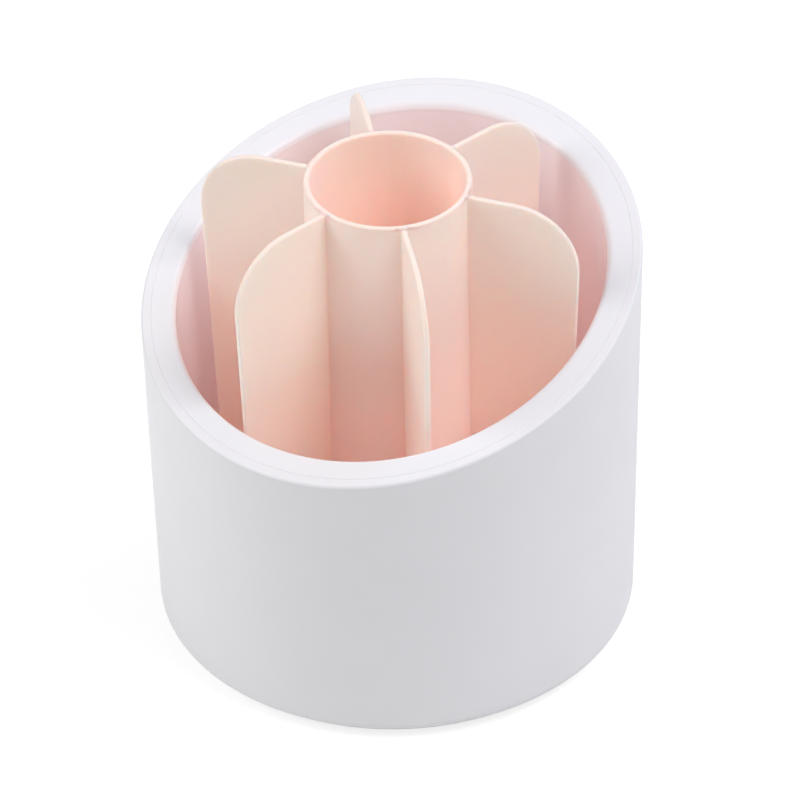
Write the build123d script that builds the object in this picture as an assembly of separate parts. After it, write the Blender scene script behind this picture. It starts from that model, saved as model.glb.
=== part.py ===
from build123d import *
import os
from math import cos, radians, sin, tan

# Rotating makeup brush holder: a slant-cut double-wall cup, inside which a carousel of
# six fins round a central tube turns on a cage of rollers. One centre bolt holds it all.
# Millimetres, +Z up, +Y towards the high side of the slanted rim, origin on the table
# under the middle of the cup.

# Slanted rim
rim_height = 102.3          # the cut plane, on the axis
rim_tilt = 16.9             # degrees, rising towards +Y

# Outer shell
shell_radius = 62.5         # outside, as if the wall ran down to the table
shell_draft = 1.41          # degrees, wider towards the top
shell_wall = 4.1
shell_bottom = 2.0          # lower edge above the table
shell_bottom_round = 2.4
lip_width = 2.6             # the shell's own share of the rim
lip_round = 1.4

# Inner liner, whose flange is the rest of the rim
flange_thickness = 2.4
mouth_radius = 55.9         # inside, at the rim's height on the axis
mouth_round = 2.0
liner_draft = 1.0           # degrees
liner_wall = 2.0
liner_floor_top = 12.0
liner_floor_thickness = 2.4
boss_radius = 7.5           # centre boss under the floor, met by the cover's

# Base cover and feet
foot_thickness = 0.8
foot_radius = 5.0
foot_circle = 47.0
foot_count = 4
cover_flange_overlap = 1.2  # how far the cover reaches under the shell's edge
cover_plug_height = 1.2
cover_boss_height = 3.0
head_pocket_depth = 2.8     # pocket for the bolt's head, from below

# Pivot
bolt_radius = 2.0
bolt_head_radius = 3.8
bolt_head_height = 2.2
bolt_end = 1.0              # beyond the nut
sleeve_radius = 4.0
washer_radius = 6.5
washer_thickness = 1.0
nut_width = 7.0             # across flats
nut_height = 3.2

# Roller cage
roller_count = 6
roller_radius = 2.5
roller_length = 6.0
roller_circle = 34.0        # middle of the rollers' path
cage_width = 10.0
cage_thickness = 2.4

# Carousel insert
insert_top = 134.5
insert_floor_radius = 52.8
insert_floor_thickness = 2.2
hub_radius = 8.5
hub_rise = 1.7              # above the insert's floor
rib_thickness = 1.5
rib_height = 2.2
tube_radius = 21.7
tube_wall = 1.6
fin_count = 6
fin_first_angle = 12.7      # degrees from +X, as the carousel stands at rest
fin_thickness = 1.5
fin_reach = 52.2            # radius of the fins' free edges at their top
fin_edge_draft = 2.37       # degrees, narrower towards the floor
fin_corner = 18.0
fin_step_down = 0.6         # below the tube's top
tube_edge = 0.4             # small chamfer round the tube's mouth

# Cap that snaps over the hub and covers the nut
cap_height = 9.6
cap_wall = 1.4

# Gaps
push_gap = 0.1              # between pieces that are pushed together
running_gap = 0.05          # sleeve to hub, and a roller to the faces it rolls on
window_gap = 0.2            # round a roller in its window
bolt_gap = 0.1              # round the bolt in its holes
thread_gap = 0.05           # round the bolt in its nut
head_gap = 0.4              # round the bolt's head in its pocket
hub_gap = 0.4               # under the hub, and over it to the washer
rib_gap = 0.8               # from a rib's end to the cage
round_flats = 2             # flats that follow each large rounded edge

# Heights that follow from the sizes above
cover_under = foot_thickness
cover_top = shell_bottom + cover_plug_height
cover_boss_top = cover_top + cover_boss_height
head_seat = cover_under + head_pocket_depth
head_under = head_seat - bolt_head_height
liner_floor_under = liner_floor_top - liner_floor_thickness
roller_height = liner_floor_top + running_gap + roller_radius
insert_floor_under = roller_height + roller_radius + running_gap
insert_floor_top = insert_floor_under + insert_floor_thickness
insert_floor_middle = (insert_floor_under + insert_floor_top) / 2
hub_under = liner_floor_top + hub_gap
hub_top = insert_floor_top + hub_rise
sleeve_top = hub_top + hub_gap
washer_top = sleeve_top + washer_thickness
nut_top = washer_top + nut_height
cap_top = insert_floor_top + cap_height
fin_top = insert_top - fin_step_down
blank_top = rim_height + shell_radius

# Radii that follow from the sizes above
bore_radius = shell_radius - shell_wall
rebate_radius = shell_radius - lip_width
liner_radius = mouth_radius - rim_height * tan(radians(liner_draft))
cage_outer = roller_circle + cage_width / 2
cage_inner = roller_circle - cage_width / 2

fin_angles = [fin_first_angle + 360 / fin_count * i for i in range(fin_count)]
foot_angles = [360 / foot_count * i for i in range(foot_count)]
roller_angles = [360 / roller_count * i for i in range(roller_count)]

rim_plane = Plane(
    origin=(0, 0, rim_height),
    x_dir=(1, 0, 0),
    z_dir=(0, -sin(radians(rim_tilt)), cos(radians(rim_tilt))),
)
upright = (Align.CENTER, Align.CENTER, Align.MIN)


def disc(radius, low, high):
    return Pos(0, 0, low) * Cylinder(radius, high - low, align=upright)


def ring(outer, inner, low, high):
    return disc(outer, low, high) - disc(inner, low, high)


def turned(shape, radius, angle):
    return Rot(0, 0, angle) * Pos(radius, 0, 0) * shape


def around(shape, radius, angles):
    return [turned(shape, radius, angle) for angle in angles]


def level_section(radius, draft, height):
    # Round section of a drafted wall; radius is the wall's at the table.
    return Plane.XY.offset(height) * Circle(radius + height * tan(radians(draft)))


def slant_section(radius, draft, depth):
    # Section of the same wall by a plane under the rim and parallel to it.
    top_radius = radius + blank_top * tan(radians(draft))
    cone = Cone(radius, top_radius, blank_top, align=upright)
    cut = split(cone, bisect_by=rim_plane.offset(-depth), keep=Keep.BOTTOM)
    return cut.faces().filter_by(GeomType.PLANE).sort_by(Axis.Z)[-1]


def slant_ring_blank(radius):
    # Solid between the rim plane and the flange's underside.
    depths = (flange_thickness, 0)
    return loft([slant_section(radius, shell_draft, depth) for depth in depths], ruled=True)


def round_steps(radius):
    # Inset and depth of each corner of the flats that follow a rounded edge.
    turns = [radians(90 * i / round_flats) for i in range(round_flats + 1)]
    return [(radius * (1 - cos(turn)), radius * (1 - sin(turn))) for turn in turns]


def build_outer_shell():
    foot = [
        level_section(shell_radius - inset, shell_draft, shell_bottom + depth)
        for inset, depth in reversed(round_steps(shell_bottom_round))
    ]
    lip = [
        slant_section(shell_radius - inset, shell_draft, depth)
        for inset, depth in round_steps(lip_round)
    ]
    bore = [
        level_section(bore_radius, shell_draft, shell_bottom),
        slant_section(bore_radius, shell_draft, flange_thickness),
    ]
    return loft(foot + lip, ruled=True) - loft(bore, ruled=True) - slant_ring_blank(rebate_radius)


def build_inner_liner():
    wall = [
        level_section(liner_radius + liner_wall, liner_draft, liner_floor_under),
        slant_section(liner_radius + liner_wall, liner_draft, flange_thickness),
    ]
    mouth = [
        slant_section(liner_radius + inset, liner_draft, depth)
        for inset, depth in round_steps(mouth_round)
    ]
    inside = [level_section(liner_radius, liner_draft, liner_floor_top)] + mouth
    body = slant_ring_blank(rebate_radius - push_gap) + loft(wall, ruled=True)
    body -= loft(inside, ruled=True)
    body += disc(boss_radius, cover_boss_top, liner_floor_under)
    return body - disc(bolt_radius + bolt_gap, cover_boss_top, liner_floor_top)


def build_base_cover():
    body = disc(bore_radius + cover_flange_overlap, cover_under, shell_bottom)
    body += disc(bore_radius - push_gap, shell_bottom, cover_top)
    body += disc(boss_radius, cover_top, cover_boss_top)
    body -= disc(bolt_head_radius + head_gap, cover_under, head_seat)
    return body - disc(bolt_radius + bolt_gap, head_seat, cover_boss_top)


def build_foot_pad(angle):
    return turned(disc(foot_radius, 0, foot_thickness), foot_circle, angle)


def build_pivot_bolt():
    head = disc(bolt_head_radius, head_under, head_seat)
    return head + disc(bolt_radius, head_seat, nut_top + bolt_end)


def build_pivot_sleeve():
    return ring(sleeve_radius, bolt_radius + bolt_gap, liner_floor_top, sleeve_top)


def build_pivot_washer():
    return ring(washer_radius, bolt_radius + bolt_gap, sleeve_top, washer_top)


def build_pivot_nut():
    outline = RegularPolygon(nut_width / 2, 6, major_radius=False)
    nut = Pos(0, 0, washer_top) * extrude(outline, nut_height)
    return nut - disc(bolt_radius + thread_gap, washer_top, nut_top)


def roller_blank(radius, length):
    # Cylinder lying along +X at the rollers' height.
    return Pos(0, 0, roller_height) * Rot(0, 90, 0) * Cylinder(radius, length)


def build_roller_cage():
    # Each window is round about its roller, so its edges close in and hold the roller.
    half = cage_thickness / 2
    body = ring(cage_outer, cage_inner, roller_height - half, roller_height + half)
    window = roller_blank(roller_radius + window_gap, roller_length + 2 * window_gap)
    return body - around(window, roller_circle, roller_angles)


def build_roller(angle):
    return turned(roller_blank(roller_radius, roller_length), roller_circle, angle)


def build_fin():
    # A thin plate, square at the tube, with a large round top corner and a leaning free edge.
    root = tube_radius - tube_wall / 2
    foot_reach = fin_reach - (fin_top - insert_floor_middle) * tan(radians(fin_edge_draft))
    outline = Polyline(
        (root, insert_floor_middle),
        (root, fin_top),
        (fin_reach, fin_top),
        (foot_reach, insert_floor_middle),
        close=True,
    )
    face = make_face(Plane.XZ * outline)
    corner = face.vertices().group_by(Axis.Z)[-1].sort_by(Axis.X)[-1]
    return extrude(fillet(corner, fin_corner), fin_thickness / 2, both=True)


def build_carousel_insert():
    tube = disc(tube_radius, insert_floor_middle, insert_top)
    tube -= disc(tube_radius - tube_wall, insert_floor_top, insert_top)
    tube = chamfer(tube.edges().group_by(Axis.Z)[-1], tube_edge)
    body = disc(insert_floor_radius, insert_floor_under, insert_floor_top) + tube
    body += around(build_fin(), 0, fin_angles)
    # The hub and the ribs that stiffen it stand under the floor, inside the roller cage.
    body += disc(hub_radius, hub_under, hub_top)
    rib_length = cage_inner - rib_gap - sleeve_radius
    rib = Box(rib_length, rib_thickness, rib_height, align=(Align.MIN, Align.CENTER, Align.MAX))
    body += around(Pos(0, 0, insert_floor_under) * rib, sleeve_radius, fin_angles)
    return body - disc(sleeve_radius + running_gap, hub_under, hub_top)


def build_pivot_cap():
    inside = hub_radius + push_gap
    body = disc(inside + cap_wall, insert_floor_top, cap_top)
    return body - disc(inside, insert_floor_top, cap_top - cap_wall)


nodes = {
    "outer_shell": build_outer_shell(),
    "inner_liner": build_inner_liner(),
    "base_cover": build_base_cover(),
    "pivot_bolt": build_pivot_bolt(),
    "pivot_sleeve": build_pivot_sleeve(),
    "pivot_washer": build_pivot_washer(),
    "pivot_nut": build_pivot_nut(),
    "roller_cage": build_roller_cage(),
    "carousel_insert": build_carousel_insert(),
    "pivot_cap": build_pivot_cap(),
}
for number, angle in enumerate(foot_angles, 1):
    nodes[f"foot_pad_{number}"] = build_foot_pad(angle)
for number, angle in enumerate(roller_angles, 1):
    nodes[f"roller_{number}"] = build_roller(angle)

os.makedirs("parts", exist_ok=True)
for name, shape in nodes.items():
    export_step(shape, f"parts/{name}.step")
    print(name, "volume", round(shape.volume), "mm3")
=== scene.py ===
import math
import bmesh
import bpy
from mathutils import Matrix, Vector


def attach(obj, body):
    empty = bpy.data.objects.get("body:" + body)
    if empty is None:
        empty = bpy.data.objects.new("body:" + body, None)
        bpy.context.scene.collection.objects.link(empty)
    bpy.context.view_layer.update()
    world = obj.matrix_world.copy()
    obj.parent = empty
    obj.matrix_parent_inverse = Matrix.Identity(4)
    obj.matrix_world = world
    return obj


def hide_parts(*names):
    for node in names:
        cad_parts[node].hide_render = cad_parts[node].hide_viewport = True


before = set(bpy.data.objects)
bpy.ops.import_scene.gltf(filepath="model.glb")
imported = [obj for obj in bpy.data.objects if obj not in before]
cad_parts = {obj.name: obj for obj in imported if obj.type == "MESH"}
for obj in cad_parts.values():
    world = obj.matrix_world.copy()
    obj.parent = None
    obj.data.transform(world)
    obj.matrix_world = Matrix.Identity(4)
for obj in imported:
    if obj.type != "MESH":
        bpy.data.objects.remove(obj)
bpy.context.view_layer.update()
mm = 0.001
near = 0.05 * mm  # how close a point counts as lying on a ring
creaseAngle = math.radians(32)  # edges that bend more stay crisp
print("frame loaded,", len(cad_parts), "nodes")


# Selecting and shaping, shared by all pieces

def clearSelection():
    if bpy.context.object and bpy.context.object.mode != "OBJECT":
        bpy.ops.object.mode_set(mode="OBJECT")
    bpy.ops.object.select_all(action="DESELECT")


def startPiece(name):  # names the primitive just added and opens it for editing
    piece = bpy.context.object
    piece.name = name
    piece.data.name = name
    bpy.ops.object.transform_apply(location=True, rotation=True, scale=True)
    bpy.ops.object.mode_set(mode="EDIT")
    bpy.ops.mesh.select_all(action="SELECT")
    return piece


def pick(kind, test):  # selects only the verts, edges or faces that pass the test
    bpy.ops.mesh.select_mode(type={"verts": "VERT", "edges": "EDGE", "faces": "FACE"}[kind])
    bpy.ops.mesh.select_all(action="DESELECT")
    mesh = bpy.context.edit_object.data
    edit = bmesh.from_edit_mesh(mesh)
    edit.normal_update()
    for item in getattr(edit, kind):
        if test(item):
            item.select_set(True)
    bmesh.update_edit_mesh(mesh)


def pickEdges(*tests):  # edges with both ends on the same ring
    pick("edges", lambda edge: any(all(test(v.co) for v in edge.verts) for test in tests))


def bridge(*tests):
    pickEdges(*tests)
    bpy.ops.mesh.bridge_edge_loops()


def extrude(x=0.0, y=0.0, z=0.0):
    bpy.ops.mesh.extrude_region_move(TRANSFORM_OT_translate={"value": (x, y, z)})


def widen(factor, height):  # scales the selected ring about the axis
    bpy.ops.transform.resize(value=(factor, factor, 1), center_override=(0, 0, height))


def roundOff(radius, segments):  # the settings give each round as such a pair, in mm
    bpy.ops.mesh.bevel(offset=radius * mm, segments=segments, affect="EDGES")


def onLevel(radius, height, draft=0.0):  # test for a level ring; a drafted radius is taken at the table
    slope = math.tan(math.radians(draft))

    def test(co):
        away = math.hypot(co.x, co.y) - radius * mm - co.z * slope
        return abs(away) < near and abs(co.z - height * mm) < near
    return test


def turnProfile(name, profile, sides, ends):  # rings drawn out one after the other along a profile
    clearSelection()
    radius, height = profile[0]
    bpy.ops.mesh.primitive_circle_add(vertices=sides, radius=radius * mm, location=(0, 0, height * mm))
    piece = startPiece(name)
    for (r0, z0), (r1, z1) in zip(profile, profile[1:]):
        extrude(z=(z1 - z0) * mm)
        widen(r1 / r0, z1 * mm)
    if ends == "ring":
        bridge(onLevel(*profile[0]), onLevel(*profile[-1]))
    if ends == "point":
        for ring in (profile[0], profile[-1]):
            pickEdges(onLevel(*ring))
            extrude()
            bpy.ops.mesh.merge(type="CENTER")
    return piece


def makeActive(piece):
    clearSelection()
    piece.select_set(True)
    bpy.context.view_layer.objects.active = piece


def applyModifier(piece, kind, **settings):
    bpy.ops.object.modifier_add(type=kind)
    modifier = piece.modifiers[-1]
    for name, value in settings.items():
        setattr(modifier, name, value)
    bpy.ops.object.modifier_apply(modifier=modifier.name)


def combine(piece, tool, operation):  # joins or cuts with another piece, which is then gone
    makeActive(piece)
    applyModifier(piece, "BOOLEAN", object=tool, operation=operation, solver="EXACT")
    bpy.data.objects.remove(tool)


def finishPiece(piece, body, node):
    makeActive(piece)
    bpy.ops.object.mode_set(mode="EDIT")
    bpy.ops.mesh.select_all(action="SELECT")
    bpy.ops.mesh.normals_make_consistent(inside=False)
    bpy.ops.object.mode_set(mode="OBJECT")
    bpy.ops.object.shade_smooth_by_angle(angle=creaseAngle)
    applyModifier(piece, "WEIGHTED_NORMAL", keep_sharp=True)  # wide faces stay even beside the rounds
    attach(piece, body)
    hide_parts(node)
    print("made", piece.name, len(piece.data.polygons), "faces")
    return piece


# The slanted rim, which cuts the shell and the liner alike

rim = {
    "height": 102.3,  # on the axis
    "tilt": 16.9,     # degrees, rising towards +Y
    "sides": 192,
}
rimPoint = Vector((0, 0, rim["height"] * mm))
rimTilt = math.radians(rim["tilt"])
rimNormal = Vector((0, -math.sin(rimTilt), math.cos(rimTilt)))


def onSlant(radius, draft, depth):  # test for a ring that lies parallel to the rim
    slope = math.tan(math.radians(draft))

    def test(co):
        away = math.hypot(co.x, co.y) - radius * mm - co.z * slope
        return abs(away) < near and abs((co - rimPoint).dot(rimNormal) + depth * mm) < near
    return test


def addWall(name, radius, draft, low):  # drafted wall from a level ring up to the rim
    slope = math.tan(math.radians(draft))
    high = rim["height"] + radius  # well above the cut
    first, last = radius + low * slope, radius + high * slope
    clearSelection()
    bpy.ops.mesh.primitive_circle_add(vertices=rim["sides"], radius=first * mm,
                                      location=(0, 0, low * mm))
    piece = startPiece(name)
    extrude(z=(high - low) * mm)
    widen(last / first, high * mm)
    bpy.ops.mesh.select_all(action="SELECT")
    bpy.ops.mesh.bisect(plane_co=rimPoint, plane_no=rimNormal, clear_outer=True)
    return piece


def drawSlant(start, end):  # the selected ring is drawn out to another one parallel to the rim
    sizes = []
    for radius, draft, depth in (start, end):
        height = rim["height"] - depth / math.cos(rimTilt)
        slope = math.tan(math.radians(draft))
        sizes.append((height, slope, radius + height * slope))
    (height0, slope0, radius0), (height1, slope1, radius1) = sizes
    extrude(z=(height1 - height0) * mm)
    factor = radius1 / radius0
    bpy.ops.transform.resize(value=(factor, factor, factor), center_override=(0, 0, height1 * mm))
    shift = radius1 * (slope1 - slope0) * math.tan(rimTilt) * mm  # steeper walls meet the cut elsewhere
    bpy.ops.transform.translate(value=(0, shift, shift * math.tan(rimTilt)))


# Outer shell

shell = {
    "radius": 62.5,  # outside, at the table
    "draft": 1.41,   # degrees
    "wall": 4.1,
    "bottom": 2.0,
    "bottomRound": (3.2, 8),
    "lip": 2.6,       # width of the shell's part of the rim
    "lipRound": (0.8, 6),
    "step": 2.4,      # depth of the rebate that takes the liner's flange
    "groove": (0.12, 0.14),  # half width and depth of the soft parting line between lip and flange
}


def makeShell():
    outside, draft, step, bottom = shell["radius"], shell["draft"], shell["step"], shell["bottom"]
    bore = outside - shell["wall"]
    rebate = outside - shell["lip"]
    grown = bottom * math.tan(math.radians(draft))
    grooveWidth, grooveDepth = shell["groove"]
    piece = addWall("outerShell", outside, draft, bottom)
    pickEdges(onSlant(outside, draft, 0))
    drawSlant((outside, draft, 0), (rebate + grooveWidth, draft, 0))
    drawSlant((rebate + grooveWidth, draft, 0), (rebate, draft, grooveDepth))
    drawSlant((rebate, draft, grooveDepth), (rebate, draft, step))
    drawSlant((rebate, draft, step), (bore, draft, step))
    pickEdges(onLevel(outside, bottom, draft))
    extrude()
    widen((bore + grown) / (outside + grown), bottom * mm)
    bridge(onLevel(bore, bottom, draft), onSlant(bore, draft, step))
    pickEdges(onSlant(outside, draft, 0))
    roundOff(*shell["lipRound"])
    pickEdges(onLevel(outside, bottom, draft))
    roundOff(*shell["bottomRound"])
    return finishPiece(piece, "cup", "outer_shell")


makeShell()

# Inner liner, whose flange drops into the shell's rebate

liner = {
    "mouth": 55.9,  # inside radius at the rim's height on the axis
    "draft": 1.0,   # degrees
    "wall": 2.0,
    "mouthRound": (1.8, 7),
    "floorTop": 12.0,
    "floor": 2.4,
    "floorRound": (1.5, 4),
    "boltHole": 2.1,
}


def makeLiner():
    draft, top, hole, step = liner["draft"], liner["floorTop"], liner["boltHole"], shell["step"]
    slope = math.tan(math.radians(draft))
    low = top - liner["floor"]
    inside = liner["mouth"] - rim["height"] * slope
    outside = inside + liner["wall"]
    flange, flangeDraft = shell["radius"] - shell["lip"], shell["draft"]
    grooveWidth, grooveDepth = shell["groove"]
    piece = addWall("innerLiner", inside, draft, top)
    pickEdges(onSlant(inside, draft, 0))
    drawSlant((inside, draft, 0), (flange - grooveWidth, flangeDraft, 0))
    drawSlant((flange - grooveWidth, flangeDraft, 0), (flange, flangeDraft, grooveDepth))
    drawSlant((flange, flangeDraft, grooveDepth), (flange, flangeDraft, step))
    drawSlant((flange, flangeDraft, step), (outside, draft, step))
    pickEdges(onLevel(inside, top, draft))
    extrude()
    widen(hole / (inside + top * slope), top * mm)
    extrude(z=(low - top) * mm)
    extrude()
    widen((outside + low * slope) / hole, low * mm)
    bridge(onLevel(outside, low, draft), onSlant(outside, draft, step))
    pickEdges(onSlant(inside, draft, 0))
    roundOff(*liner["mouthRound"])
    pickEdges(onLevel(inside, top, draft))
    roundOff(*liner["floorRound"])
    return finishPiece(piece, "cup", "inner_liner")


makeLiner()

# Carousel insert: a tube with six fins on a round floor

insert = {
    "sides": 180,  # round the tube; two sides together are as wide as a fin is thick
    "fins": 6,
    "firstAngle": 12.7,  # degrees from +X
    "tubeRadius": 21.7,
    "tubeWall": 1.6,
    "tubeTop": 134.5,
    "tubeRound": (0.7, 4),
    "finTop": 133.9,
    "reach": 52.2,
    "edgeDraft": 2.37,  # degrees, the free edges lean in towards the floor
    "cornerRound": (18.0, 16),
    "tipZone": 1.0,  # this near to the reach, a point belongs to the tip
    "sharp": 60.0,   # degrees, edges that bend more are rounded off
    "edgeRound": (0.5, 3),
    "fullShadeRise": 0.7,  # rise of a face's normal from which its painted shade is full
    "floorRadius": 52.8,
    "floorTop": 19.3,
    "floor": 2.2,
    "hubRadius": 8.5,
    "hubLow": 12.4,
    "hubTop": 21.0,
    "bore": 4.05,
    "ribReach": 28.2,
    "ribWidth": 1.5,
    "ribLow": 14.9,
    "ribOverlap": 1.0,  # ribs start inside the hub's wall
}
finAngles = [math.radians(insert["firstAngle"] + 360 / insert["fins"] * k) for k in range(insert["fins"])]


def makeFinnedTube():
    radius, top, finTop = insert["tubeRadius"], insert["tubeTop"], insert["finTop"]
    low = insert["floorTop"] - insert["floor"] / 2  # roots end inside the floor
    reach = insert["reach"]
    lean = (finTop - low) * math.tan(math.radians(insert["edgeDraft"]))
    halfSide = math.pi / insert["sides"]
    clearSelection()
    turn = finAngles[0] - math.pi / 2  # a circle's first corner lies on +Y
    bpy.ops.mesh.primitive_circle_add(vertices=insert["sides"], radius=radius * mm,
                                      location=(0, 0, low * mm), rotation=(0, 0, turn))
    piece = startPiece("carouselInsert")
    extrude(z=(finTop - low) * mm)
    extrude(z=(top - finTop) * mm)
    extrude()
    widen(1 - insert["tubeWall"] / radius, top * mm)
    extrude(z=(low - top) * mm)
    for angle in finAngles:
        along = Vector((math.cos(angle), math.sin(angle), 0))
        across = Vector((-along.y, along.x, 0))

        def onStrip(face):  # the two sides of the tube that this fin grows from
            middle = face.calc_center_median()
            turned = math.atan2(middle.dot(across), middle.dot(along))
            outer = math.hypot(middle.x, middle.y) > (radius - insert["tubeWall"] / 2) * mm
            return abs(turned) < 2 * halfSide and middle.z < finTop * mm - near and outer

        def atTip(co):
            return co.dot(along) > (reach - insert["tipZone"]) * mm

        pick("faces", onStrip)
        extrude(*(along * (reach - radius) * mm))
        pick("verts", lambda v: atTip(v.co) and abs(v.co.z - low * mm) < near)
        bpy.ops.transform.translate(value=-along * lean * mm)
        pick("edges", lambda e: all(atTip(v.co) and abs(v.co.z - finTop * mm) < near for v in e.verts))
        roundOff(*insert["cornerRound"])

    def onTop(co):
        return abs(co.z - top * mm) < near

    def sharpFinEdge(edge):  # outline of a fin, and its roots on the tube
        if len(edge.link_faces) != 2 or any(onTop(v.co) for v in edge.verts):
            return False
        return edge.calc_face_angle() > math.radians(insert["sharp"])

    pick("edges", sharpFinEdge)
    roundOff(*insert["edgeRound"])
    pickEdges(onLevel(radius, top), onLevel(radius - insert["tubeWall"], top))
    roundOff(*insert["tubeRound"])
    pick("edges", lambda edge: edge.is_boundary)
    bpy.ops.mesh.fill(use_beauty=True)
    bpy.ops.mesh.select_all(action="SELECT")
    bpy.ops.mesh.normals_make_consistent(inside=False)
    return piece


def markShadedTops(piece):  # a number per face that tells the material where to paint shade: how far the face looks up into the lamps
    marks = piece.data.attributes.new("upperEdgeShade", "FLOAT", "FACE")
    hubTop = insert["hubTop"] * mm + near
    for face, mark in zip(piece.data.polygons, marks.data):
        if face.center.z > hubTop:
            mark.value = min(max(face.normal.z / insert["fullShadeRise"], 0.0), 1.0)


def makeInsert():
    floorLow = insert["floorTop"] - insert["floor"]
    piece = makeFinnedTube()
    floor = turnProfile("carouselFloor", [
        (insert["bore"], insert["hubLow"]), (insert["hubRadius"], insert["hubLow"]),
        (insert["hubRadius"], floorLow), (insert["floorRadius"], floorLow),
        (insert["floorRadius"], insert["floorTop"]), (insert["hubRadius"], insert["floorTop"]),
        (insert["hubRadius"], insert["hubTop"]), (insert["bore"], insert["hubTop"]),
    ], insert["sides"], "ring")
    pickEdges(onLevel(insert["floorRadius"], insert["floorTop"]))
    roundOff(*insert["edgeRound"])
    bpy.ops.mesh.select_all(action="SELECT")
    bpy.ops.mesh.normals_make_consistent(inside=False)
    combine(piece, floor, "UNION")
    inner = insert["hubRadius"] - insert["ribOverlap"]
    length = insert["ribReach"] - inner
    height = floorLow - insert["ribLow"] + insert["floor"] / 2  # up into the floor
    for angle in finAngles:
        middle = Vector((math.cos(angle), math.sin(angle), 0)) * (inner + length / 2) * mm
        middle.z = (insert["ribLow"] + height / 2) * mm
        clearSelection()
        bpy.ops.mesh.primitive_cube_add(size=1, location=middle, rotation=(0, 0, angle),
                                        scale=(length * mm, insert["ribWidth"] * mm, height * mm))
        combine(piece, startPiece("carouselRib"), "UNION")
    # painted shade: marks the faces that look up, for the material to colour darker
    markShadedTops(piece)
    return finishPiece(piece, "carousel", "carousel_insert")


makeInsert()

# Pivot cap at the bottom of the tube

cap = {
    "inside": 8.6, "outside": 10.0, "sides": 72,
    "low": 19.3, "top": 28.9, "skin": 1.4, "topRound": (2.2, 5),
}


def makeCap():
    roof = cap["top"] - cap["skin"]
    piece = turnProfile("pivotCap", [
        (cap["inside"], roof), (cap["inside"], cap["low"]),
        (cap["outside"], cap["low"]), (cap["outside"], cap["top"]),
    ], cap["sides"], "point")
    pickEdges(onLevel(cap["outside"], cap["top"]))
    roundOff(*cap["topRound"])
    return finishPiece(piece, "carousel", "pivot_cap")


makeCap()

# Base cover, seen from below

cover = {
    "flange": 59.6, "low": 0.8, "flangeTop": 2.0,
    "plug": 58.3, "plugTop": 3.2,
    "boss": 7.5, "bossTop": 6.2,
    "pocket": 4.2, "pocketTop": 3.6, "hole": 2.1,
    "edgeRound": (0.5, 3),
}


def makeCover():
    c = cover
    piece = turnProfile("baseCover", [
        (c["pocket"], c["low"]), (c["flange"], c["low"]), (c["flange"], c["flangeTop"]),
        (c["plug"], c["flangeTop"]), (c["plug"], c["plugTop"]), (c["boss"], c["plugTop"]),
        (c["boss"], c["bossTop"]), (c["hole"], c["bossTop"]), (c["hole"], c["pocketTop"]),
        (c["pocket"], c["pocketTop"]),
    ], rim["sides"], "ring")
    pickEdges(onLevel(c["flange"], c["low"]), onLevel(c["pocket"], c["low"]))
    roundOff(*c["edgeRound"])
    return finishPiece(piece, "cup", "base_cover")


makeCover()

# Four foot pads, modelled once and copied

pads = {"radius": 5.0, "sides": 64, "height": 0.8, "circle": 47.0, "count": 4, "edgeRound": (0.35, 3)}


def makePads():
    radius, circle = pads["radius"], pads["circle"] * mm
    first = turnProfile("footPad1", [(radius, pads["height"]), (radius, 0.0)], pads["sides"], "point")
    pickEdges(onLevel(radius, 0.0))
    roundOff(*pads["edgeRound"])
    copies = []
    for _ in range(pads["count"] - 1):
        makeActive(first)
        bpy.ops.object.duplicate(linked=False)
        copies.append(bpy.context.object)
    for k, piece in enumerate([first] + copies):
        angle = 2 * math.pi * k / pads["count"]
        makeActive(piece)
        piece.name = piece.data.name = f"footPad{k + 1}"
        bpy.ops.transform.translate(value=(circle * math.cos(angle), circle * math.sin(angle), 0))
        bpy.ops.object.transform_apply(location=True, rotation=True, scale=True)
        finishPiece(piece, "cup", f"foot_pad_{k + 1}")


makePads()

# Pivot bolt with a cross recess in its head

bolt = {
    "shank": 2.0, "tip": 26.6, "sides": 64,
    "head": 3.8, "headTop": 3.6, "headLow": 1.4, "headRound": (0.5, 3),
    "crossLength": 4.4, "crossWidth": 1.0, "crossDepth": 1.2,
}


def makeBolt():
    b = bolt
    piece = turnProfile("pivotBolt", [
        (b["shank"], b["tip"]), (b["shank"], b["headTop"]),
        (b["head"], b["headTop"]), (b["head"], b["headLow"]),
    ], b["sides"], "point")
    pickEdges(onLevel(b["head"], b["headLow"]), onLevel(b["shank"], b["tip"]))
    roundOff(*b["headRound"])
    bpy.ops.mesh.select_all(action="SELECT")
    bpy.ops.mesh.normals_make_consistent(inside=False)
    size = (b["crossLength"] * mm, b["crossWidth"] * mm, 2 * b["crossDepth"] * mm)  # half is in the head
    for turn in (0, math.pi / 2):
        clearSelection()
        bpy.ops.mesh.primitive_cube_add(size=1, location=(0, 0, b["headLow"] * mm),
                                        rotation=(0, 0, turn), scale=size)
        combine(piece, startPiece("boltCross"), "DIFFERENCE")
    return finishPiece(piece, "cup", "pivot_bolt")


makeBolt()


# Materials, all procedural on Object coordinates and the marks of painted shade on the upper edges

colourMix = (6, 7, 2)    # sockets of a Mix node for colours: first, second and result
numberMix = (2, 3, 0)    # and for numbers
cloudRange = (0.3, 0.7)  # where most values of a noise texture lie


def linear(code):  # sRGB hex to linear colour
    parts = [int(code[i:i + 2], 16) / 255 for i in (1, 3, 5)]
    return [p / 12.92 if p <= 0.04045 else ((p + 0.055) / 1.055) ** 2.4 for p in parts] + [1.0]


def perMetre(size):  # pattern scale for features of this many mm
    return 1000 / size


def addNode(tree, kind, links=None, values=None, **settings):
    node = tree.nodes.new(kind)
    for name, value in settings.items():
        setattr(node, name, value)
    for socket, value in (values or {}).items():
        node.inputs[socket].default_value = value
    for socket, source in (links or {}).items():
        tree.links.new(source, node.inputs[socket])
    return node


def startMaterial(name):
    material = bpy.data.materials.new(name)
    material.use_nodes = True
    material.node_tree.nodes.clear()
    return material, material.node_tree


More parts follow.
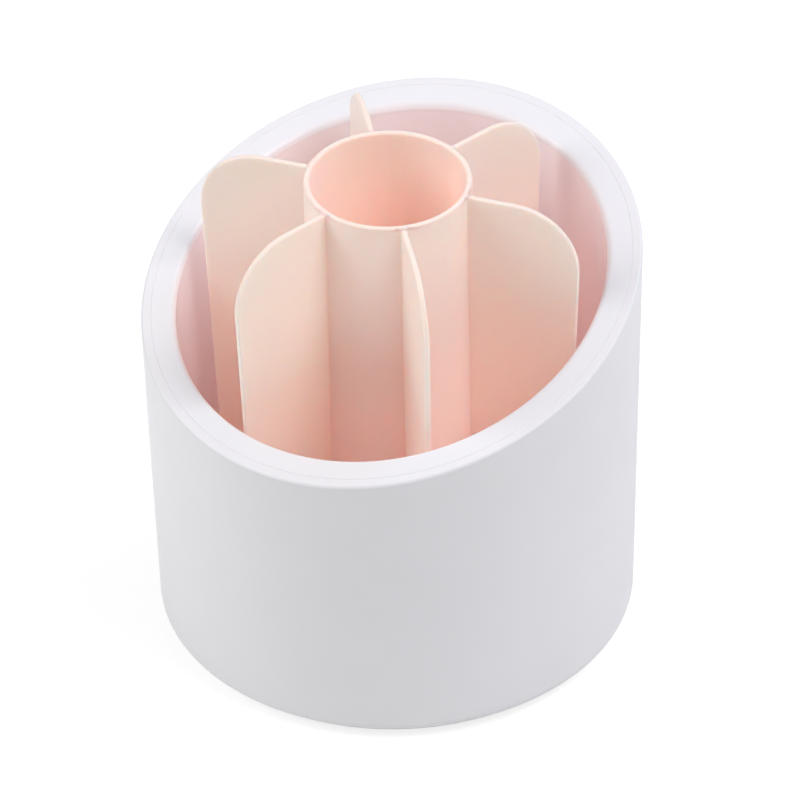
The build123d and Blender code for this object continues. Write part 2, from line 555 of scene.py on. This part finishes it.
def mouldedPlastic(name, look):
    material, tree = startMaterial(name)
    first, second, result = colourMix
    place = addNode(tree, "ShaderNodeTexCoord")
    flow = addNode(tree, "ShaderNodeMapping", {"Vector": place.outputs["Object"]},
                   {"Scale": look["stretch"]})
    cloud = addNode(tree, "ShaderNodeTexNoise", {"Vector": flow.outputs["Vector"]},
                    {"Scale": perMetre(look["cloud"]), "Detail": 3.0, "Roughness": 0.55})
    grain = addNode(tree, "ShaderNodeTexNoise", {"Vector": place.outputs["Object"]},
                    {"Scale": perMetre(look["grain"]), "Detail": 2.0, "Roughness": 0.6})
    wave = addNode(tree, "ShaderNodeTexNoise", {"Vector": flow.outputs["Vector"]},
                   {"Scale": perMetre(look["wave"]), "Detail": 1.0})
    tone = addNode(tree, "ShaderNodeMix", {"Factor": cloud.outputs["Fac"]},
                   {first: linear(look["light"]), second: linear(look["dark"])}, data_type="RGBA")
    rough = addNode(tree, "ShaderNodeMapRange", {"Value": cloud.outputs["Fac"]},
                    {"From Min": cloudRange[0], "From Max": cloudRange[1],
                     "To Min": look["rough"][0], "To Max": look["rough"][1]})
    waved = addNode(tree, "ShaderNodeBump", {"Height": wave.outputs["Fac"]},
                    {"Strength": 1.0, "Distance": look["waveDepth"] * mm})
    bump = addNode(tree, "ShaderNodeBump",
                   {"Height": grain.outputs["Fac"], "Normal": waved.outputs["Normal"]},
                   {"Strength": look["grainStrength"], "Distance": look["grainDepth"] * mm})
    shader = addNode(tree, "ShaderNodeBsdfPrincipled", {
        "Base Color": tone.outputs[result], "Roughness": rough.outputs["Result"],
        "Normal": bump.outputs["Normal"],
    }, {"IOR": look["ior"], "Subsurface Weight": look["milky"], "Subsurface Radius": look["bleed"],
        "Subsurface Scale": mm, "Sheen Weight": look["bloom"], "Sheen Roughness": 0.5,
        "Sheen Tint": linear(look["light"])})
    addNode(tree, "ShaderNodeOutputMaterial", {"Surface": shader.outputs["BSDF"]})
    return material


# Sizes in the looks are in mm. The real grain is finer: it is drawn as coarse as it needs to show

# What the opaque mouldings share: no flow lines, and no light from inside
opaque = {"stretch": (1, 1, 1), "milky": 0.0, "bleed": (1, 1, 1), "bloom": 0.0}
# Moulded ABS from a fine spark-eroded mould: satin white that scatters light evenly
shellLook = {
    **opaque,
    "light": "#e9e8eb", "dark": "#e6e5e8", "cloud": 24.0,
    "grain": 0.35, "grainDepth": 0.01, "grainStrength": 0.15, "wave": 30.0, "waveDepth": 0.02,
    "rough": (0.42, 0.5), "ior": 1.53,
    # painted shade: a darker colour on the slanted rim, which faces up into the lamps, with a rougher
    # finish there
    "rimShade": "#dedde1", "rimShadeRough": 0.45, "rimShadeDepth": 1.2,
}
# Moulded ABS from a polished mould: white with blurred mirror images of what stands before it
linerLook = {
    **opaque,
    "light": "#f9f9fc", "dark": "#f7f6fa", "cloud": 30.0,
    "grain": 0.5, "grainDepth": 0.004, "grainStrength": 0.1, "wave": 26.0, "waveDepth": 0.03,
    "rough": (0.1, 0.15), "ior": 1.56,
    # painted shade: a darker colour on the slanted rim, which faces up into the lamps, with a rougher
    # finish there
    "rimShade": "#dedee2", "rimShadeRough": 0.45, "rimShadeDepth": 2.5,
}
# Moulded polypropylene: soft pink with a waxy half-gloss and faint flow lines up the walls
insertLook = {
    "light": "#ffeae3", "dark": "#ffe6de", "cloud": 16.0, "stretch": (1, 1, 0.2),
    "grain": 0.5, "grainDepth": 0.006, "grainStrength": 0.12, "wave": 22.0, "waveDepth": 0.03,
    "rough": (0.34, 0.42), "ior": 1.49, "bloom": 0.25,
    "milky": 0.9, "bleed": (3.4, 2.0, 1.4),  # how far red, green and blue light spread inside, in mm
    # painted shade: a darker colour on the faces of fins and tube that look up into the lamps, with a
    # rougher finish there
    "edgeShade": "#ead7cf", "edgeShadeRough": 0.5,
}
# Moulded ABS with a coarser eroded grain, as on undersides: dull white
coverLook = {
    **opaque,
    "light": "#e9e8eb", "dark": "#e3e1e5", "cloud": 20.0,
    "grain": 0.6, "grainDepth": 0.03, "grainStrength": 0.4, "wave": 30.0, "waveDepth": 0.02,
    "rough": (0.55, 0.65), "ior": 1.53,
}
# Moulded acetal: dense creamy white with a slippery low gloss
acetalLook = {
    **opaque,
    "light": "#efeee8", "dark": "#e9e7df", "cloud": 8.0,
    "grain": 0.3, "grainDepth": 0.004, "grainStrength": 0.15, "wave": 12.0, "waveDepth": 0.01,
    "rough": (0.3, 0.38), "ior": 1.48,
}
# Soft rubber: grey, dry and grainy
rubberLook = {
    **opaque,
    "light": "#b4b3b6", "dark": "#a8a7aa", "cloud": 4.0,
    "grain": 0.25, "grainDepth": 0.03, "grainStrength": 0.5, "wave": 8.0, "waveDepth": 0.01,
    "rough": (0.75, 0.85), "ior": 1.5,
}
# Zinc-plated steel: bright metal clouded by fine crystals and tool marks
steelLook = {
    "light": "#c9cacd", "dark": "#b7b9bd", "spangle": 1.2, "rough": (0.26, 0.4),
    "scratch": 0.15, "scratchDepth": 0.003, "scratchStrength": 0.3,
}


def platedSteel(name, look):
    material, tree = startMaterial(name)
    first, second, result = colourMix
    place = addNode(tree, "ShaderNodeTexCoord")
    spangle = addNode(tree, "ShaderNodeTexVoronoi", {"Vector": place.outputs["Object"]},
                      {"Scale": perMetre(look["spangle"])})
    shade = addNode(tree, "ShaderNodeRGBToBW", {"Color": spangle.outputs["Color"]})
    tone = addNode(tree, "ShaderNodeMix", {"Factor": shade.outputs["Val"]},
                   {first: linear(look["light"]), second: linear(look["dark"])}, data_type="RGBA")
    rough = addNode(tree, "ShaderNodeMapRange", {"Value": shade.outputs["Val"]},
                    {"To Min": look["rough"][0], "To Max": look["rough"][1]})
    scratch = addNode(tree, "ShaderNodeTexNoise", {"Vector": place.outputs["Object"]},
                      {"Scale": perMetre(look["scratch"]), "Detail": 2.0})
    bump = addNode(tree, "ShaderNodeBump", {"Height": scratch.outputs["Fac"]},
                   {"Strength": look["scratchStrength"], "Distance": look["scratchDepth"] * mm})
    shader = addNode(tree, "ShaderNodeBsdfPrincipled", {
        "Base Color": tone.outputs[result], "Roughness": rough.outputs["Result"],
        "Normal": bump.outputs["Normal"],
    }, {"Metallic": 1.0})
    addNode(tree, "ShaderNodeOutputMaterial", {"Surface": shader.outputs["BSDF"]})
    return material


def mixInto(tree, socket, factor, value):  # blends a constant over what already feeds a shader socket
    shader = tree.nodes["Principled BSDF"]
    kind, sockets = ("RGBA", colourMix) if socket == "Base Color" else ("FLOAT", numberMix)
    first, second, result = sockets
    before = shader.inputs[socket].links[0].from_socket
    mix = addNode(tree, "ShaderNodeMix", {"Factor": factor, first: before}, {second: value},
                  data_type=kind)
    tree.links.new(mix.outputs[result], shader.inputs[socket])


def shadeAndDullRim(material, look):  # painted shade: the slanted rim is coloured darker, as deep as the look says, where its upward face takes the most light; it is made rougher there too
    tree = material.node_tree
    place = addNode(tree, "ShaderNodeTexCoord")
    height = addNode(tree, "ShaderNodeVectorMath", {0: place.outputs["Object"]}, {1: rimNormal},
                     operation="DOT_PRODUCT")
    level = rimPoint.dot(rimNormal)
    rimShade = addNode(tree, "ShaderNodeMapRange", {"Value": height.outputs["Value"]},
                   {"From Min": level - look["rimShadeDepth"] * mm, "From Max": level},
                   interpolation_type="SMOOTHSTEP")
    mixInto(tree, "Base Color", rimShade.outputs["Result"], linear(look["rimShade"]))
    mixInto(tree, "Roughness", rimShade.outputs["Result"], look["rimShadeRough"])


def shadeAndDullUpperEdges(material, look):  # painted shade: the marked upper edges of fins and tube, which take the most light, are coloured darker and made rougher
    tree = material.node_tree
    marks = addNode(tree, "ShaderNodeAttribute", attribute_name="upperEdgeShade")
    mixInto(tree, "Base Color", marks.outputs["Fac"], linear(look["edgeShade"]))
    mixInto(tree, "Roughness", marks.outputs["Fac"], look["edgeShadeRough"])


satinAbs = mouldedPlastic("moulded ABS satin", shellLook)
polishedAbs = mouldedPlastic("moulded ABS polished", linerLook)
# painted shade on the slanted rims of shell and liner
shadeAndDullRim(satinAbs, shellLook)
shadeAndDullRim(polishedAbs, linerLook)
pinkPolypropylene = mouldedPlastic("moulded polypropylene", insertLook)
# painted shade on the upper edges of fins and tube
shadeAndDullUpperEdges(pinkPolypropylene, insertLook)
texturedAbs = mouldedPlastic("moulded ABS textured", coverLook)
whiteAcetal = mouldedPlastic("moulded acetal", acetalLook)
softRubber = mouldedPlastic("soft rubber", rubberLook)
zincSteel = platedSteel("zinc-plated steel", steelLook)

rollers = [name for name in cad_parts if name.startswith("roller_")]  # the cage among them
for material, names in (
    (satinAbs, ["outerShell"]),
    (polishedAbs, ["innerLiner"]),
    (pinkPolypropylene, ["carouselInsert", "pivotCap"]),
    (texturedAbs, ["baseCover"]),
    (whiteAcetal, ["pivot_sleeve"] + rollers),
    (softRubber, [f"footPad{k + 1}" for k in range(pads["count"])]),
    (zincSteel, ["pivotBolt", "pivot_washer", "pivot_nut"]),
):
    for name in names:
        mesh = bpy.data.objects[name].data
        mesh.materials.clear()
        mesh.materials.append(material)
print("materials set")

# Floor: white to the camera with a faint shadow, plain white to everything else

studio = {
    "floorSize": 30.0,   # metres
    "floorWhite": 0.75,  # as the object sees it
    "floorGlow": 0.78,   # as the camera and mirror images see it: its own light
    "floorLit": 0.28,    # and what the lamps add, which leaves the faint shadow
    "world": 0.32,       # light from all round
    "bounces": 24,       # light goes far between the pale walls inside the cup
}


def makeFloor():
    clearSelection()
    bpy.ops.mesh.primitive_plane_add(size=studio["floorSize"])
    floor = bpy.context.object
    floor.name = "studioFloor"
    material, tree = startMaterial("paper floor")
    path = addNode(tree, "ShaderNodeLightPath")
    side = addNode(tree, "ShaderNodeNewGeometry")
    paper = addNode(tree, "ShaderNodeBsdfDiffuse", values={"Color": [studio["floorWhite"]] * 3 + [1]})
    lit = addNode(tree, "ShaderNodeBsdfDiffuse", values={"Color": [studio["floorLit"]] * 3 + [1]})
    glow = addNode(tree, "ShaderNodeEmission", values={"Strength": studio["floorGlow"]})
    shown = addNode(tree, "ShaderNodeAddShader", {0: lit.outputs[0], 1: glow.outputs[0]})
    seen = addNode(tree, "ShaderNodeMath", operation="MAXIMUM",
                   links={0: path.outputs["Is Camera Ray"], 1: path.outputs["Is Glossy Ray"]})
    top = addNode(tree, "ShaderNodeMixShader",
                  {0: seen.outputs[0], 1: paper.outputs[0], 2: shown.outputs[0]})
    clear = addNode(tree, "ShaderNodeBsdfTransparent")  # from below, so that the underside can be seen
    both = addNode(tree, "ShaderNodeMixShader",
                   {0: side.outputs["Backfacing"], 1: top.outputs[0], 2: clear.outputs[0]})
    addNode(tree, "ShaderNodeOutputMaterial", {"Surface": both.outputs[0]})
    floor.data.materials.append(material)


makeFloor()


# World: white where the camera sees it, softer as light

def makeWorld():
    world = bpy.data.worlds.new("studio world")
    bpy.context.scene.world = world
    world.use_nodes = True
    tree = world.node_tree
    tree.nodes.clear()
    path = addNode(tree, "ShaderNodeLightPath")
    white = addNode(tree, "ShaderNodeBackground", values={"Color": (1, 1, 1, 1), "Strength": 1.0})
    ambient = addNode(tree, "ShaderNodeBackground",
                      values={"Color": (1, 1, 1, 1), "Strength": studio["world"]})
    mixed = addNode(tree, "ShaderNodeMixShader",
                    {0: path.outputs["Is Camera Ray"], 1: ambient.outputs[0], 2: white.outputs[0]})
    addNode(tree, "ShaderNodeOutputWorld", {"Surface": mixed.outputs[0]})


makeWorld()

# Camera, fitted to the photo's rim, tube, fins and outline

view = {
    "azimuth": 32.6, "elevation": 37.5, "roll": -1.27,  # degrees
    "distance": 2263.0, "lens": 390.3, "sensor": 36.0,
    "aim": (1.57, 1.0, 63.1),
    "clip": (0.1, 100.0),  # metres
}
azimuth, elevation = math.radians(view["azimuth"]), math.radians(view["elevation"])
back = Vector((math.sin(azimuth) * math.cos(elevation), -math.cos(azimuth) * math.cos(elevation),
               math.sin(elevation)))
cameraData = bpy.data.cameras.new("photoCamera")
camera = bpy.data.objects.new("photoCamera", cameraData)
bpy.context.collection.objects.link(camera)
cameraData.sensor_fit = "HORIZONTAL"
cameraData.sensor_width = view["sensor"]
cameraData.lens = view["lens"]
cameraData.clip_start, cameraData.clip_end = view["clip"]
place = Matrix.Translation((Vector(view["aim"]) + back * view["distance"]) * mm)
roll = Matrix.Rotation(math.radians(view["roll"]), 4, "Z")
camera.matrix_world = place @ back.to_track_quat("Z", "Y").to_matrix().to_4x4() @ roll
bpy.context.scene.camera = camera

# Soft boxes: a high one to the right of the camera, one to its left and one behind the object

lamps = {  # turn in degrees from the camera, sizes in metres, power in watts
    "key": {"turn": 61.0, "height": 1.64, "away": 0.9, "size": 0.8, "power": 19.6, "tint": "#ffffff"},
    "left": {"turn": -85.0, "height": 1.0, "away": 1.2, "size": 1.0, "power": 12.0, "tint": "#ffffff"},
    "back": {"turn": 130.0, "height": 1.2, "away": 1.2, "size": 1.0, "power": 6.8, "tint": "#dde4ff"},
}
target = Vector((0, 0, rim["height"] / 2 * mm))  # the middle of the cup
for name, lamp in lamps.items():
    lampData = bpy.data.lights.new(name + "Softbox", "AREA")
    lampData.size, lampData.energy = lamp["size"], lamp["power"]
    lampData.color = linear(lamp["tint"])[:3]
    light = bpy.data.objects.new(name + "Softbox", lampData)
    bpy.context.collection.objects.link(light)
    turned = azimuth + math.radians(lamp["turn"])
    light.location = (lamp["away"] * math.sin(turned), -lamp["away"] * math.cos(turned), lamp["height"])
    light.rotation_euler = (light.location - target).to_track_quat("Z", "Y").to_euler()

bpy.context.scene.view_settings.view_transform = "Standard"
bpy.context.scene.cycles.max_bounces = studio["bounces"]
bpy.context.scene.cycles.diffuse_bounces = studio["bounces"]
print("camera and lights set")
